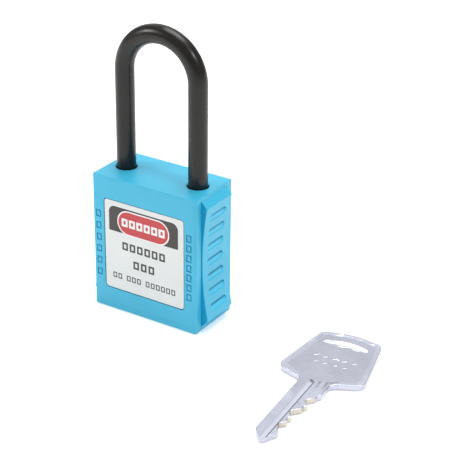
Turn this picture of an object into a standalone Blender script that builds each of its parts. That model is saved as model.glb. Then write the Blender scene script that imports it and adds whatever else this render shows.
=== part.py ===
"""A nylon-shackled safety padlock with its key, built as the pieces it comes apart into.

Run in Blender 4.5: blender --background --python part.py
X is the padlock's width, Y its depth (front face at -Y), Z its height. The origin is the centre of
the bottom face. Sizes below are in millimetres, and MM turns them into Blender's metres.
"""

import math

import bmesh
import bpy
from mathutils import Matrix, Vector

MM = 0.001
GAP = 0.3  # clearance between pieces that touch or slide on the real padlock
THROUGH = 1.0  # how far a cutter runs past the face it opens
SMALL_HOLE_SIDES = 12
BORE_SIDES = 24
AXIS_X = Vector((1, 0, 0))
AXIS_Z = Vector((0, 0, 1))

# Case
CASE_W = 38.0
CASE_D = 20.0
CASE_H = 45.0
CASE_EDGE_R = 0.6
CASE_TOP_R = 0.4
COVER_W = 34.0
COVER_D = 16.0
COVER_T = 2.3
COVER_CORNER_R = 1.5
CHAMBER_HALF_D = 7.4
CHAMBER_LEFT = -9.0
LOWER_CHAMBER_RIGHT = 13.6
LOWER_CHAMBER_TOP = 33.4
UPPER_CHAMBER_RIGHT = 9.0
UPPER_CHAMBER_TOP = 43.3

# Grip pads: raised on both sides, waisted at mid height, with seven scooped slots
PAD_HALF_D = 7.0
PAD_FOOT = (1.4, 3.9)  # heights where the pad's lower end starts and is fully raised
PAD_HEAD = (41.8, 44.0)  # heights where its upper end is still fully raised and ends
PAD_LOW_LIP = 2.45
PAD_HIGH_LIP = 2.05
PAD_WAIST = 0.4
PAD_WAIST_Z = 23.0
PAD_STEPS = 9
PAD_ROOT = 1.5  # how far a pad's root reaches into the case wall
SLOT_COUNT = 7
SLOT_PITCH = 5.05
SLOT_MID_Z = 22.4
SLOT_R = 1.3
SLOT_DEPTH = 0.8
SLOT_HALF_L = 3.15
SLOT_SIDES = 8
SLOT_RINGS = 5

# Labels, one in a shallow recess on the front and one on the back
LABEL_W = 29.2
LABEL_H = 30.1
LABEL_T = 0.4
LABEL_Z = 22.45
LABEL_R = 1.0
LABEL_ARC_STEPS = 3
RECESS_DEPTH = 0.8
LABEL_FACE_DROP = 0.1

# Shackle
ROD_R = 3.0
LEG_X = 13.2
LEG_TOP = CASE_H + 32.0
HEEL_BOTTOM = 18.0
TOE_BOTTOM = 36.0
SHACKLE_LIFT = 9.5
SHACKLE_ARC_STEPS = 20
SHACKLE_SIDES_RES = 8
BORE_R = ROD_R + GAP
TOE_BORE_FLOOR = 34.3
STOP_PIN_R = 1.0
STOP_PIN_X = -10.4
STOP_PIN_Z = 34.0
STOP_PIN_HALF_L = 5.5
STOP_NOTCH_DEPTH = 1.6

# Lock cylinder, standing on its flange, its plug's face showing in the base
PLUG_X = 6.5
PLUG_R = 5.6
PLUG_SIDES = 40
PLUG_NOSE_R = 4.9
PLUG_FACE = 0.5
PLUG_STEP = 2.6
HOUSING_BASE = 2.9
HOUSING_TOP = 28.7
FLANGE_BOTTOM = 2.82  # a hair below the barrel, so that the two never share a face
FLANGE_TOP = 4.4
FLANGE_LEFT = -8.6
FLANGE_RIGHT = 16.6
FLANGE_HALF_D = 7.0
BARREL_R = 6.7
PIN_BLOCK_HALF_D = 3.0
PIN_BLOCK_LEFT = -8.7
PIN_BLOCK_TOP = 22.6
CLIP_T = 0.6
CLIP_BOTTOM = HOUSING_TOP + 0.35
CLIP_PLAY = 0.2
CLIP_MOUTH = math.radians(50)
CLIP_STEPS = 24
CLIP_INNER_R = 5.35
CLIP_OUTER_R = 6.5
PLUG_GROOVE_R = 5.05
PLUG_TOP = 30.4
TAIL_SIZE = 4.0
TAIL_TOP = 32.0

# Pins: five pairs on a pitch along the plug, stacked from the key towards -X
PIN_COUNT = 5
PIN_PITCH = 3.6
PIN_FIRST = 4.6  # from the key's shoulder, which stops on the plug's face
PIN_R = 1.1
PIN_HOLE_R = 1.4
DRIVER_L = 3.2
DRIVER_CHAMFER = 0.2
PIN_SPRING_R = 0.75
PIN_WIRE_R = 0.18
PIN_SPRING_TURNS = 4
STRIP_T = 0.8
STRIP_HALF_D = 1.9

# Cam and bolt: a crank pin on the cam slides the bolt by BOLT_THROW in a quarter turn
BOLT_THROW = 2.5
CRANK_START = math.radians(135)  # the crank pin's bearing with the bolt drawn back
CRANK_E = BOLT_THROW / (2 * math.sin(CRANK_START))
CRANK_R = 1.0
CRANK_TOP = 41.0
CAM_R = 5.2
CAM_TOP = 33.1
BOLT_BOTTOM = 38.6
BOLT_TOP = 41.2
BOLT_LEFT = 1.0
BOLT_Y = (-2.4, 4.2)
BOLT_TIP = 9.5
NOTCH_DEPTH = 2.2
GUIDE_BOTTOM = 36.0
GUIDE_TOP = 43.0
GUIDE_HALF_W = 8.7
GUIDE_HALF_D = 7.1

# Retaining screw, reached down the toe bore once the shackle is open
SCREW_X = 14.8
SCREW_R = 0.9
SCREW_HEAD_R = 1.4
SCREW_HEAD_T = 1.1
SCREW_SLOT_W = 0.5
SCREW_BOTTOM = 3.2

# Shackle spring, under the heel leg
SPRING_R = 2.2
SPRING_WIRE_R = 0.4
SPRING_TURNS = 6

# Key, lying on the ground beside the padlock. Its own axes run from the shoulder: x to the bow, y to
# the spine, which is the blade's straight edge.
KEY_T = 1.7
KEY_SHOULDER = (64.7, -21.5)
KEY_HEADING = math.radians(95.7)  # direction from the tip to the bow, from +X
KEY_SPINE = 4.7  # from the bow's centreline to the spine
BLADE_W = 8.7
BLADE_L = 28.2
TIP_FROM_SPINE = 3.6
TIP_CUT_SLOPE_L = 5.3
TIP_SPINE_SLOPE_L = 4.6
TIP_R = 0.5
TIP_SPINE_R = 1.0
CUT_WIDTHS = (6.7, 7.4, 5.1, 5.9, 5.0)  # blade left at each cut, from the shoulder to the tip
CUT_FLAT = 0.5
CUT_SLOPE = 0.95
STOP_PROUD = 0.8  # how far the shoulder's stop stands past the blade's cut side
BLADE_GROOVE_W = 1.9
BLADE_GROOVE_DEPTH = 0.45
BLADE_GROOVE_FROM_SPINE = 3.5
BLADE_GROOVE_END = 6.4
NECK_L = 6.4
NECK_R = 1.6
BOW_HALF_W = 13.9
BOW_TOP_HALF_W = 9.9
BOW_BASE = 10.0
BOW_TOP = 34.1
BOW_CROWN = 1.9
BOW_CROWN_R = 17.0
BOW_LOBE_R = 3.4
BOW_TOP_R = 3.0
RING_LOW = 27.6
RING_HIGH = 31.1
RING_HIGH_END = 28.9
RING_HALF_W = 7.2
RING_END_R = 0.7
KEYWAY_HALF_H = 4.6
KEYWAY_HALF_W = 1.1
KEYWAY_TOP = 28.5

COLOURS = {
    "blue_abs": ((0.07, 0.44, 0.68), 0.42, 0.0),
    "black_nylon": ((0.03, 0.028, 0.026), 0.36, 0.0),
    "label_white": ((0.82, 0.83, 0.85), 0.45, 0.0),
    "brass": ((0.66, 0.49, 0.22), 0.32, 1.0),
    "zinc": ((0.50, 0.50, 0.52), 0.40, 1.0),
    "spring_steel": ((0.42, 0.42, 0.44), 0.28, 1.0),
    "key_nickel": ((0.60, 0.60, 0.63), 0.30, 1.0),
}


# Scene and object helpers


def clear_scene():
    for obj in list(bpy.data.objects):
        bpy.data.objects.remove(obj, do_unlink=True)


def new_collection(name):
    collection = bpy.data.collections.new(name)
    bpy.context.scene.collection.children.link(collection)
    return collection


def link(name, data, location=(0, 0, 0), cutter=False):
    """A new object, in the padlock's collection or in the cutters'."""
    obj = bpy.data.objects.new(name, data)
    obj.location = Vector(location) * MM
    (CUTTERS if cutter else PARTS).objects.link(obj)
    if cutter:
        obj.hide_render = True
        obj.display_type = "WIRE"
    return obj


def paint(obj, colour):
    base, roughness, metallic = COLOURS[colour]
    material = bpy.data.materials.new(f"{obj.name}_{colour}")
    material.use_nodes = True
    shader = material.node_tree.nodes["Principled BSDF"]
    shader.inputs["Base Color"].default_value = (*base, 1.0)
    shader.inputs["Roughness"].default_value = roughness
    shader.inputs["Metallic"].default_value = metallic
    obj.data.materials.clear()
    obj.data.materials.append(material)
    return obj


def pivot(name, location):
    """An empty on a joint's axis, which the moving pieces hang from."""
    empty = link(name, None, location)
    empty.empty_display_size = 5 * MM
    return empty


def hang(obj, empty):
    """Parent obj to a pivot and leave it where it stands."""
    obj.parent = empty
    obj.matrix_parent_inverse = Matrix.Translation(-empty.location)


def point_along(obj, direction):
    """Turn an object made along +Z so that it runs along direction."""
    obj.rotation_mode = "QUATERNION"
    obj.rotation_quaternion = AXIS_Z.rotation_difference(direction)
    return obj


def smooth(obj, degrees=40):
    obj.data.shade_smooth()
    obj.data.set_sharp_from_angle(angle=math.radians(degrees))
    return obj


def mesh_from(name, bm):
    mesh = bpy.data.meshes.new(name)
    bm.to_mesh(mesh)
    bm.free()
    return mesh


def boolean(obj, other, operation):
    modifier = obj.modifiers.new(f"{operation.lower()} {other.name}", "BOOLEAN")
    modifier.operation = operation
    modifier.solver = "EXACT"
    modifier.object = other


def cut(obj, *cutters):
    for cutter in cutters:
        boolean(obj, cutter, "DIFFERENCE")


def join(obj, *others):
    for other in others:
        boolean(obj, other, "UNION")


# Shapes


def box(name, low, high, cutter=False, edge_r=0.0, segments=3):
    """A box between two corners; edge_r rounds its four upright edges."""
    low, high = Vector(low), Vector(high)
    bm = bmesh.new()
    bmesh.ops.create_cube(bm, size=1.0)
    bmesh.ops.scale(bm, vec=(high - low) * MM, verts=bm.verts)
    if edge_r:
        upright = [e for e in bm.edges if abs((e.verts[0].co - e.verts[1].co).normalized().z) > 0.9]
        bmesh.ops.bevel(bm, geom=upright, offset=edge_r * MM, segments=segments, affect="EDGES", profile=0.5)
    return link(name, mesh_from(name, bm), (low + high) / 2, cutter)


def rod(name, radius, start, end, cutter=False, sides=BORE_SIDES):
    """A cylinder between two points."""
    start, end = Vector(start), Vector(end)
    bm = bmesh.new()
    bmesh.ops.create_cone(
        bm,
        cap_ends=True,
        segments=sides,
        radius1=radius * MM,
        radius2=radius * MM,
        depth=(end - start).length * MM,
    )
    obj = link(name, mesh_from(name, bm), (start + end) / 2, cutter)
    return smooth(point_along(obj, (end - start).normalized()))


def turned(name, profile, location=(0, 0, 0), cutter=False, steps=32):
    """Turn a profile of (radius, height) points, listed from the top down, about the Z axis."""
    bm = bmesh.new()
    verts = [bm.verts.new((radius * MM, 0, height * MM)) for radius, height in profile]
    for first, second in zip(verts, verts[1:]):
        bm.edges.new((first, second))
    obj = link(name, mesh_from(name, bm), location, cutter)
    screw = obj.modifiers.new("Turn", "SCREW")
    screw.axis = "Z"
    screw.angle = math.tau
    screw.steps = steps
    screw.render_steps = steps
    screw.use_merge_vertices = True
    screw.merge_threshold = 0.00001
    screw.use_smooth_shade = False
    return obj


def curve_object(name, splines, thickness=0.0, cutter=False):
    """A flat filled outline in the XY plane, with holes where a spline lies inside another."""
    curve = bpy.data.curves.new(name, "CURVE")
    curve.dimensions = "2D"
    curve.fill_mode = "BOTH"
    curve.extrude = thickness / 2 * MM
    for points in splines:
        spline = curve.splines.new("POLY")
        spline.points.add(len(points) - 1)
        for place, (x, y) in zip(spline.points, points):
            place.co = (x * MM, y * MM, 0, 1)
        spline.use_cyclic_u = True
    return link(name, curve, cutter=cutter)


def wire(name, points, radius, resolution, cutter=False):
    """A round wire through the given points, with filled ends."""
    curve = bpy.data.curves.new(name, "CURVE")
    curve.dimensions = "3D"
    curve.bevel_depth = radius * MM
    curve.bevel_resolution = resolution
    curve.use_fill_caps = True
    spline = curve.splines.new("POLY")
    spline.points.add(len(points) - 1)
    for place, point in zip(spline.points, points):
        place.co = (*(Vector(point) * MM), 1)
    return link(name, curve, cutter=cutter)


def as_mesh(obj):
    """Replace a curve object by its mesh, with the loose caps welded on."""
    bpy.context.view_layer.update()
    depsgraph = bpy.context.evaluated_depsgraph_get()
    mesh = bpy.data.meshes.new_from_object(obj.evaluated_get(depsgraph))
    bm = bmesh.new()
    bm.from_mesh(mesh)
    bmesh.ops.remove_doubles(bm, verts=bm.verts, dist=0.00001)
    bmesh.ops.recalc_face_normals(bm, faces=bm.faces)
    bm.to_mesh(mesh)
    bm.free()
    name = obj.name
    solid = bpy.data.objects.new(name, mesh)
    solid.matrix_world = obj.matrix_world
    for collection in obj.users_collection:
        collection.objects.link(solid)
    solid.hide_render = obj.hide_render
    solid.display_type = obj.display_type
    bpy.data.objects.remove(obj)
    solid.name = name
    return solid


def coil(name, start, direction, radius, wire_r, length, turns, per_turn=8):
    """A helical spring from start along direction."""
    count = turns * per_turn
    pitch = (length - 2 * wire_r) / count
    points = []
    for step in range(count + 1):
        angle = math.tau * step / per_turn
        points.append((radius * math.cos(angle), radius * math.sin(angle), wire_r + pitch * step))
    obj = wire(name, points, wire_r, resolution=2)
    obj.location = Vector(start) * MM
    return point_along(obj, direction)


def rounded_outline(corners, steps=5):
    """A closed outline through (x, y, radius) corners, each rounded by an arc of its radius."""
    outline = []
    count = len(corners)
    for index, (x, y, radius) in enumerate(corners):
        here = Vector((x, y))
        before = Vector(corners[index - 1][:2]) - here
        after = Vector(corners[(index + 1) % count][:2]) - here
        if radius == 0:
            outline.append((x, y))
            continue
        half = before.angle(after) / 2
        reach = radius / math.tan(half)
        start = here + before.normalized() * reach
        centre = here + (before.normalized() + after.normalized()).normalized() * (radius / math.sin(half))
        sweep = (start - centre).angle_signed(here + after.normalized() * reach - centre)
        for step in range(steps + 1):
            turn = Matrix.Rotation(-sweep * step / steps, 2)
            outline.append(tuple(centre + turn @ (start - centre)))
    return outline


# Case


def pad_rise(z):
    """How far a grip pad stands proud of the case's side at height z, between its lips."""
    if z < PAD_WAIST_Z:
        share = (PAD_WAIST_Z - z) / (PAD_WAIST_Z - PAD_FOOT[1])
        return PAD_WAIST + (PAD_LOW_LIP - PAD_WAIST) * share**2
    share = (z - PAD_WAIST_Z) / (PAD_HEAD[0] - PAD_WAIST_Z)
    return PAD_WAIST + (PAD_HIGH_LIP - PAD_WAIST) * share**2


def grip_pad(side):
    """One grip pad, drawn as its side profile and pushed through the pad's depth."""
    wall = CASE_W / 2
    outline = [(side * (wall - PAD_ROOT), PAD_FOOT[0]), (side * wall, PAD_FOOT[0])]
    for step in range(PAD_STEPS + 1):
        z = PAD_FOOT[1] + (PAD_HEAD[0] - PAD_FOOT[1]) * step / PAD_STEPS
        outline.append((side * (wall + pad_rise(z)), z))
    outline += [(side * wall, PAD_HEAD[1]), (side * (wall - PAD_ROOT), PAD_HEAD[1])]
    name = "pad_right" if side > 0 else "pad_left"
    pad = curve_object(name, [outline], 2 * PAD_HALF_D, cutter=True)
    pad.rotation_euler.x = math.radians(90)
    return as_mesh(pad)


def grip_slots():
    """Fourteen flattened capsule cutters, lying front to back in the faces of the two pads."""
    bm = bmesh.new()
    for side in (-1, 1):
        for index in range(SLOT_COUNT):
            z = SLOT_MID_Z + (index - SLOT_COUNT // 2) * SLOT_PITCH
            x = side * (CASE_W / 2 + pad_rise(z))
            new = bmesh.ops.create_uvsphere(
                bm, u_segments=SLOT_SIDES, v_segments=SLOT_RINGS, radius=SLOT_R * MM
            )["verts"]
            for vert in new:
                vert.co.x *= SLOT_DEPTH / SLOT_R
                vert.co.z += math.copysign(SLOT_HALF_L * MM, vert.co.z)
            bmesh.ops.rotate(bm, verts=new, matrix=Matrix.Rotation(math.radians(90), 3, "X"))
            bmesh.ops.translate(bm, verts=new, vec=Vector((x, 0, z)) * MM)
    return link("grip_slots", mesh_from("grip_slots", bm), cutter=True)


def label_outline(margin=0.0):
    """The label's rounded rectangle, grown by a margin on each side."""
    half_w, half_h = LABEL_W / 2 + margin, LABEL_H / 2 + margin
    corners = [(-half_w, -half_h), (half_w, -half_h), (half_w, half_h), (-half_w, half_h)]
    return rounded_outline([(x, y, LABEL_R) for x, y in corners], LABEL_ARC_STEPS)


def label_recess(name, side):
    """A shallow rounded recess in the front (side -1) or back (side 1) face."""
    recess = curve_object(name, [label_outline(GAP)], RECESS_DEPTH + THROUGH, cutter=True)
    recess.rotation_euler.x = math.radians(90)
    middle_y = side * (CASE_D / 2 + (THROUGH - RECESS_DEPTH) / 2)
    recess.location = Vector((0, middle_y, LABEL_Z)) * MM
    return as_mesh(recess)


def body_shell():
    """The one-piece blue case, open at the bottom, with two leg bores and a lock chamber."""
    low = (-CASE_W / 2, -CASE_D / 2, 0)
    high = (CASE_W / 2, CASE_D / 2, CASE_H)
    case = box("body_shell", low, high, edge_r=CASE_EDGE_R)
    bm = bmesh.new()
    bm.from_mesh(case.data)
    top = max(v.co.z for v in bm.verts)
    rim = [e for e in bm.edges if all(abs(v.co.z - top) < 1e-6 for v in e.verts)]
    bmesh.ops.bevel(bm, geom=rim, offset=CASE_TOP_R * MM, segments=2, affect="EDGES", profile=0.5)
    bm.to_mesh(case.data)
    bm.free()

    join(case, grip_pad(-1), grip_pad(1))
    cut(case, grip_slots(), label_recess("front_recess", -1), label_recess("back_recess", 1))

    half_w, half_d = COVER_W / 2 + GAP, COVER_D / 2 + GAP
    ceiling = COVER_T + GAP
    chamber = (CHAMBER_LEFT, -CHAMBER_HALF_D)
    cut(
        case,
        box("cover_seat", (-half_w, -half_d, -THROUGH), (half_w, half_d, ceiling), True, COVER_CORNER_R),
        box(
            "flange_seat",
            (*chamber, ceiling - THROUGH),
            (FLANGE_RIGHT + GAP, CHAMBER_HALF_D, FLANGE_TOP + GAP),
            True,
        ),
        box(
            "lower_chamber",
            (*chamber, FLANGE_TOP - THROUGH),
            (LOWER_CHAMBER_RIGHT, CHAMBER_HALF_D, LOWER_CHAMBER_TOP),
            True,
        ),
        box(
            "upper_chamber",
            (*chamber, LOWER_CHAMBER_TOP - THROUGH),
            (UPPER_CHAMBER_RIGHT, CHAMBER_HALF_D, UPPER_CHAMBER_TOP),
            True,
        ),
        rod("heel_bore", BORE_R, (-LEG_X, 0, ceiling - THROUGH), (-LEG_X, 0, CASE_H + THROUGH), True),
        rod("toe_bore", BORE_R, (LEG_X, 0, TOE_BORE_FLOOR), (LEG_X, 0, CASE_H + THROUGH), True),
        box(
            "bolt_window",
            (UPPER_CHAMBER_RIGHT - THROUGH, BOLT_Y[0] - GAP, BOLT_BOTTOM - GAP),
            (BOLT_TIP + BOLT_THROW + GAP, BOLT_Y[1] + GAP, BOLT_TOP + GAP),
            True,
        ),
        rod(
            "screw_hole",
            SCREW_R + GAP,
            (SCREW_X, 0, FLANGE_TOP),
            (SCREW_X, 0, TOE_BORE_FLOOR + THROUGH),
            True,
            SMALL_HOLE_SIDES,
        ),
        rod(
            "stop_pin_hole",
            STOP_PIN_R + GAP,
            (STOP_PIN_X, -STOP_PIN_HALF_L - GAP, STOP_PIN_Z),
            (STOP_PIN_X, CASE_D / 2, STOP_PIN_Z),
            True,
            SMALL_HOLE_SIDES,
        ),
    )
    return paint(smooth(case, 30), "blue_abs")


def base_cover():
    """The flat cover let into the bottom, with a hole that shows the plug's face."""
    low = (-COVER_W / 2, -COVER_D / 2, 0)
    high = (COVER_W / 2, COVER_D / 2, COVER_T)
    cover = box("base_cover", low, high, edge_r=COVER_CORNER_R)
    hole_r = PLUG_NOSE_R + GAP
    cut(cover, rod("face_hole", hole_r, (PLUG_X, 0, -THROUGH), (PLUG_X, 0, COVER_T + THROUGH), True))
    return paint(cover, "blue_abs")


def label(name, side):
    """A printed plate that sits in its recess, just below the case's face."""
    plate = curve_object(name, [label_outline()], LABEL_T)
    plate.rotation_euler.x = math.radians(90)
    middle_y = side * (CASE_D / 2 - LABEL_FACE_DROP - LABEL_T / 2)
    plate.location = Vector((0, middle_y, LABEL_Z)) * MM
    return paint(plate, "label_white")


# Shackle


def shackle(lift):
    """The nylon rod: a long heel leg, the bow and a short toe leg with the bolt's notch."""
    points = [(-LEG_X, 0, HEEL_BOTTOM)]
    for step in range(SHACKLE_ARC_STEPS + 1):
        angle = math.pi * (1 - step / SHACKLE_ARC_STEPS)
        points.append((LEG_X * math.cos(angle), 0, LEG_TOP + LEG_X * math.sin(angle)))
    points.append((LEG_X, 0, TOE_BOTTOM))
    body = as_mesh(wire("shackle", points, ROD_R, SHACKLE_SIDES_RES))
    inner = LEG_X - ROD_R
    bolt_notch = box(
        "bolt_notch",
        (inner - THROUGH, -ROD_R - THROUGH, BOLT_BOTTOM - GAP),
        (inner + NOTCH_DEPTH, ROD_R + THROUGH, BOLT_TOP + GAP),
        True,
    )
    stop_notch = box(
        "stop_notch",
        (-inner - STOP_NOTCH_DEPTH, -ROD_R - THROUGH, STOP_PIN_Z - STOP_PIN_R - SHACKLE_LIFT - 2 * GAP),
        (-inner + THROUGH, ROD_R + THROUGH, STOP_PIN_Z + STOP_PIN_R + GAP),
        True,
    )
    cut(body, bolt_notch, stop_notch)
    hang(body, lift)
    return paint(smooth(body), "black_nylon")


def shackle_spring():
    floor = COVER_T + GAP
    length = HEEL_BOTTOM - GAP - floor
    spring = coil(
        "shackle_spring",
        (-LEG_X, 0, floor),
        AXIS_Z,
        SPRING_R,
        SPRING_WIRE_R,
        length,
        SPRING_TURNS,
        per_turn=10,
    )
    return paint(spring, "spring_steel")


def shackle_stop_pin():
    """The cross pin in the heel leg's long notch, which stops the shackle at its full lift."""
    back = CASE_D / 2 - RECESS_DEPTH - GAP
    start = (STOP_PIN_X, -STOP_PIN_HALF_L, STOP_PIN_Z)
    end = (STOP_PIN_X, back, STOP_PIN_Z)
    pin = rod("shackle_stop_pin", STOP_PIN_R, start, end, sides=SMALL_HOLE_SIDES)
    return paint(pin, "spring_steel")


# Lock cylinder


def pin_height(index):
    """Height of a pin pair, counted from the plug's face inwards."""
    return PLUG_FACE + PIN_FIRST + PIN_PITCH * index


def pin_holes(name, left, right):
    """Five round holes along X at the pins' heights."""
    bm = bmesh.new()
    for index in range(PIN_COUNT):
        new = bmesh.ops.create_cone(
            bm,
            cap_ends=True,
            segments=SMALL_HOLE_SIDES,
            radius1=PIN_HOLE_R * MM,
            radius2=PIN_HOLE_R * MM,
            depth=(right - left) * MM,
        )["verts"]
        bmesh.ops.rotate(bm, verts=new, matrix=Matrix.Rotation(math.radians(90), 3, "Y"))
        middle = Vector(((left + right) / 2, 0, pin_height(index)))
        bmesh.ops.translate(bm, verts=new, vec=middle * MM)
    return link(name, mesh_from(name, bm), cutter=True)


def cylinder_housing():
    """The die-cast housing: a barrel for the plug, a block for the driver pins and a flange."""
    bottom, top = (PLUG_X, 0, HOUSING_BASE), (PLUG_X, 0, HOUSING_TOP)
    housing = rod("cylinder_housing", BARREL_R, bottom, top, sides=PLUG_SIDES)
    join(
        housing,
        box(
            "pin_block",
            (PIN_BLOCK_LEFT, -PIN_BLOCK_HALF_D, HOUSING_BASE),
            (PLUG_X, PIN_BLOCK_HALF_D, PIN_BLOCK_TOP),
            True,
        ),
        box(
            "flange",
            (FLANGE_LEFT, -FLANGE_HALF_D, FLANGE_BOTTOM),
            (FLANGE_RIGHT, FLANGE_HALF_D, FLANGE_TOP),
            True,
        ),
    )
    bore_r = PLUG_R + GAP
    strip_reach = STRIP_T + GAP
    cut(
        housing,
        rod("plug_bore", bore_r, (PLUG_X, 0, 0), (PLUG_X, 0, HOUSING_TOP + THROUGH), True, PLUG_SIDES),
        pin_holes("driver_holes", PIN_BLOCK_LEFT - THROUGH, PLUG_X - PLUG_NOSE_R),
        box(
            "strip_seat",
            (PIN_BLOCK_LEFT - THROUGH, -STRIP_HALF_D - GAP, pin_height(0) - PIN_HOLE_R - 2 * GAP),
            (PIN_BLOCK_LEFT + strip_reach, STRIP_HALF_D + GAP, PIN_BLOCK_TOP + THROUGH),
            True,
        ),
        rod(
            "flange_hole",
            SCREW_R + GAP,
            (SCREW_X, 0, 0),
            (SCREW_X, 0, FLANGE_TOP + THROUGH),
            True,
            SMALL_HOLE_SIDES,
        ),
    )
    return paint(smooth(housing, 30), "zinc")


def pin_chamber_cover():
    """The strip that closes the driver pins' holes and backs their springs."""
    strip = box(
        "pin_chamber_cover",
        (PIN_BLOCK_LEFT, -STRIP_HALF_D, pin_height(0) - PIN_HOLE_R - GAP),
        (PIN_BLOCK_LEFT + STRIP_T, STRIP_HALF_D, PIN_BLOCK_TOP),
    )
    return paint(strip, "brass")


def keyway():
    """The key's slot in the plug, with one ward that fits the groove in the blade."""
    ward_mid = PLUG_X + BLADE_W / 2 - BLADE_GROOVE_FROM_SPINE
    ward_half = BLADE_GROOVE_W / 2 - GAP / 2
    ward_tip = -KEYWAY_HALF_W + BLADE_GROOVE_DEPTH - GAP / 2
    outline = [
        (PLUG_X - KEYWAY_HALF_H, -KEYWAY_HALF_W),
        (ward_mid - ward_half, -KEYWAY_HALF_W),
        (ward_mid - ward_half, ward_tip),
        (ward_mid + ward_half, ward_tip),
        (ward_mid + ward_half, -KEYWAY_HALF_W),
        (PLUG_X + KEYWAY_HALF_H, -KEYWAY_HALF_W),
        (PLUG_X + KEYWAY_HALF_H, KEYWAY_HALF_W),
        (PLUG_X - KEYWAY_HALF_H, KEYWAY_HALF_W),
    ]
    slot = curve_object("keyway", [outline], KEYWAY_TOP + THROUGH, cutter=True)
    slot.location.z = (KEYWAY_TOP - THROUGH) / 2 * MM
    return as_mesh(slot)


def cylinder_plug(turn):
    """The brass plug that the key turns, with a square tail for the cam."""
    groove_bottom = CLIP_BOTTOM - CLIP_PLAY
    groove_top = CLIP_BOTTOM + CLIP_T + CLIP_PLAY
    profile = [
        (0, PLUG_TOP),
        (PLUG_R, PLUG_TOP),
        (PLUG_R, groove_top),
        (PLUG_GROOVE_R, groove_top),
        (PLUG_GROOVE_R, groove_bottom),
        (PLUG_R, groove_bottom),
        (PLUG_R, PLUG_STEP),
        (PLUG_NOSE_R, PLUG_STEP),
        (PLUG_NOSE_R, PLUG_FACE),
        (0, PLUG_FACE),
    ]
    plug = turned("cylinder_plug", profile, (PLUG_X, 0, 0), steps=PLUG_SIDES)
    half = TAIL_SIZE / 2
    tail_low = (PLUG_X - half, -half, PLUG_TOP - THROUGH)
    join(plug, box("tail", tail_low, (PLUG_X + half, half, TAIL_TOP), True))
    cut(plug, keyway(), pin_holes("plug_holes", PLUG_X - PLUG_R - THROUGH, PLUG_X - KEYWAY_HALF_H + THROUGH))
    hang(plug, turn)
    return paint(plug, "brass")


def plug_retaining_clip(turn):
    """The open ring in the plug's groove, which holds the plug in the housing."""
    outer, inner = [], []
    for step in range(CLIP_STEPS + 1):
        angle = CLIP_MOUTH / 2 + (math.tau - CLIP_MOUTH) * step / CLIP_STEPS
        outer.append((CLIP_OUTER_R * math.cos(angle), CLIP_OUTER_R * math.sin(angle)))
        inner.append((CLIP_INNER_R * math.cos(angle), CLIP_INNER_R * math.sin(angle)))
    clip = curve_object("plug_retaining_clip", [outer + inner[::-1]], CLIP_T)
    clip.location = Vector((PLUG_X, 0, CLIP_BOTTOM + CLIP_T / 2)) * MM
    hang(clip, turn)
    return paint(clip, "spring_steel")


def key_pins(turn):
    """Brass pins in the plug, each as long as its cut in the key needs, level at the shear line."""
    start = PLUG_X - PLUG_R + GAP
    spine = PLUG_X + BLADE_W / 2
    for index, width in enumerate(CUT_WIDTHS):
        length = spine - width - start
        profile = [(0, length), (PIN_R / 2, length), (PIN_R, length - PIN_R / 2), (PIN_R, 0), (0, 0)]
        place = (start, 0, pin_height(index))
        pin = turned(f"key_pin_{index + 1}", profile, place, steps=SMALL_HOLE_SIDES)
        point_along(pin, AXIS_X)
        hang(pin, turn)
        paint(pin, "brass")


def driver_pins():
    """Pins and springs in the housing, which cross the shear line when the key is out."""
    face = PLUG_X - PLUG_R - GAP
    spring_end = PIN_BLOCK_LEFT + STRIP_T + GAP
    for index in range(PIN_COUNT):
        z = pin_height(index)
        shoulder = (PIN_R, DRIVER_L - DRIVER_CHAMFER)
        profile = [(0, DRIVER_L), (PIN_R - DRIVER_CHAMFER, DRIVER_L), shoulder, (PIN_R, 0), (0, 0)]
        place = (face - DRIVER_L, 0, z)
        pin = turned(f"driver_pin_{index + 1}", profile, place, steps=SMALL_HOLE_SIDES)
        paint(point_along(pin, AXIS_X), "zinc")
        length = face - DRIVER_L - GAP - spring_end
        spring = coil(
            f"pin_spring_{index + 1}",
            (spring_end, 0, z),
            AXIS_X,
            PIN_SPRING_R,
            PIN_WIRE_R,
            length,
            PIN_SPRING_TURNS,
        )
        paint(spring, "spring_steel")


# Bolt work


def drive_cam(turn):
    """The cam on the plug's square tail. Its crank pin stands at the start of a quarter turn."""
    bottom = PLUG_TOP + GAP
    cam = rod("drive_cam", CAM_R, (PLUG_X, 0, bottom), (PLUG_X, 0, CAM_TOP))
    crank_x = PLUG_X + CRANK_E * math.cos(CRANK_START)
    crank_y = CRANK_E * math.sin(CRANK_START)
    low = (crank_x, crank_y, (bottom + CAM_TOP) / 2)
    join(cam, rod("crank_pin", CRANK_R, low, (crank_x, crank_y, CRANK_TOP), True, SMALL_HOLE_SIDES))
    half = TAIL_SIZE / 2 + GAP
    low = (PLUG_X - half, -half, bottom - THROUGH)
    cut(cam, box("tail_socket", low, (PLUG_X + half, half, TAIL_TOP + GAP), True))
    hang(cam, turn)
    return paint(smooth(cam), "zinc")


def lock_bolt(throw):
    """The bolt: a bar with a cross slot for the crank pin, whose end enters the shackle's notch."""
    start_x = PLUG_X - BOLT_THROW / 2
    bolt = box("lock_bolt", (BOLT_LEFT, BOLT_Y[0], BOLT_BOTTOM), (BOLT_TIP, BOLT_Y[1], BOLT_TOP))
    play = CRANK_R + GAP
    low_y = BOLT_THROW / 2 - play
    slot = box(
        "crank_slot",
        (start_x - play, low_y, BOLT_BOTTOM - THROUGH),
        (start_x + play, CRANK_E + play, BOLT_TOP + THROUGH),
        True,
    )
    cut(bolt, slot)
    hang(bolt, throw)
    return paint(bolt, "spring_steel")


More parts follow.
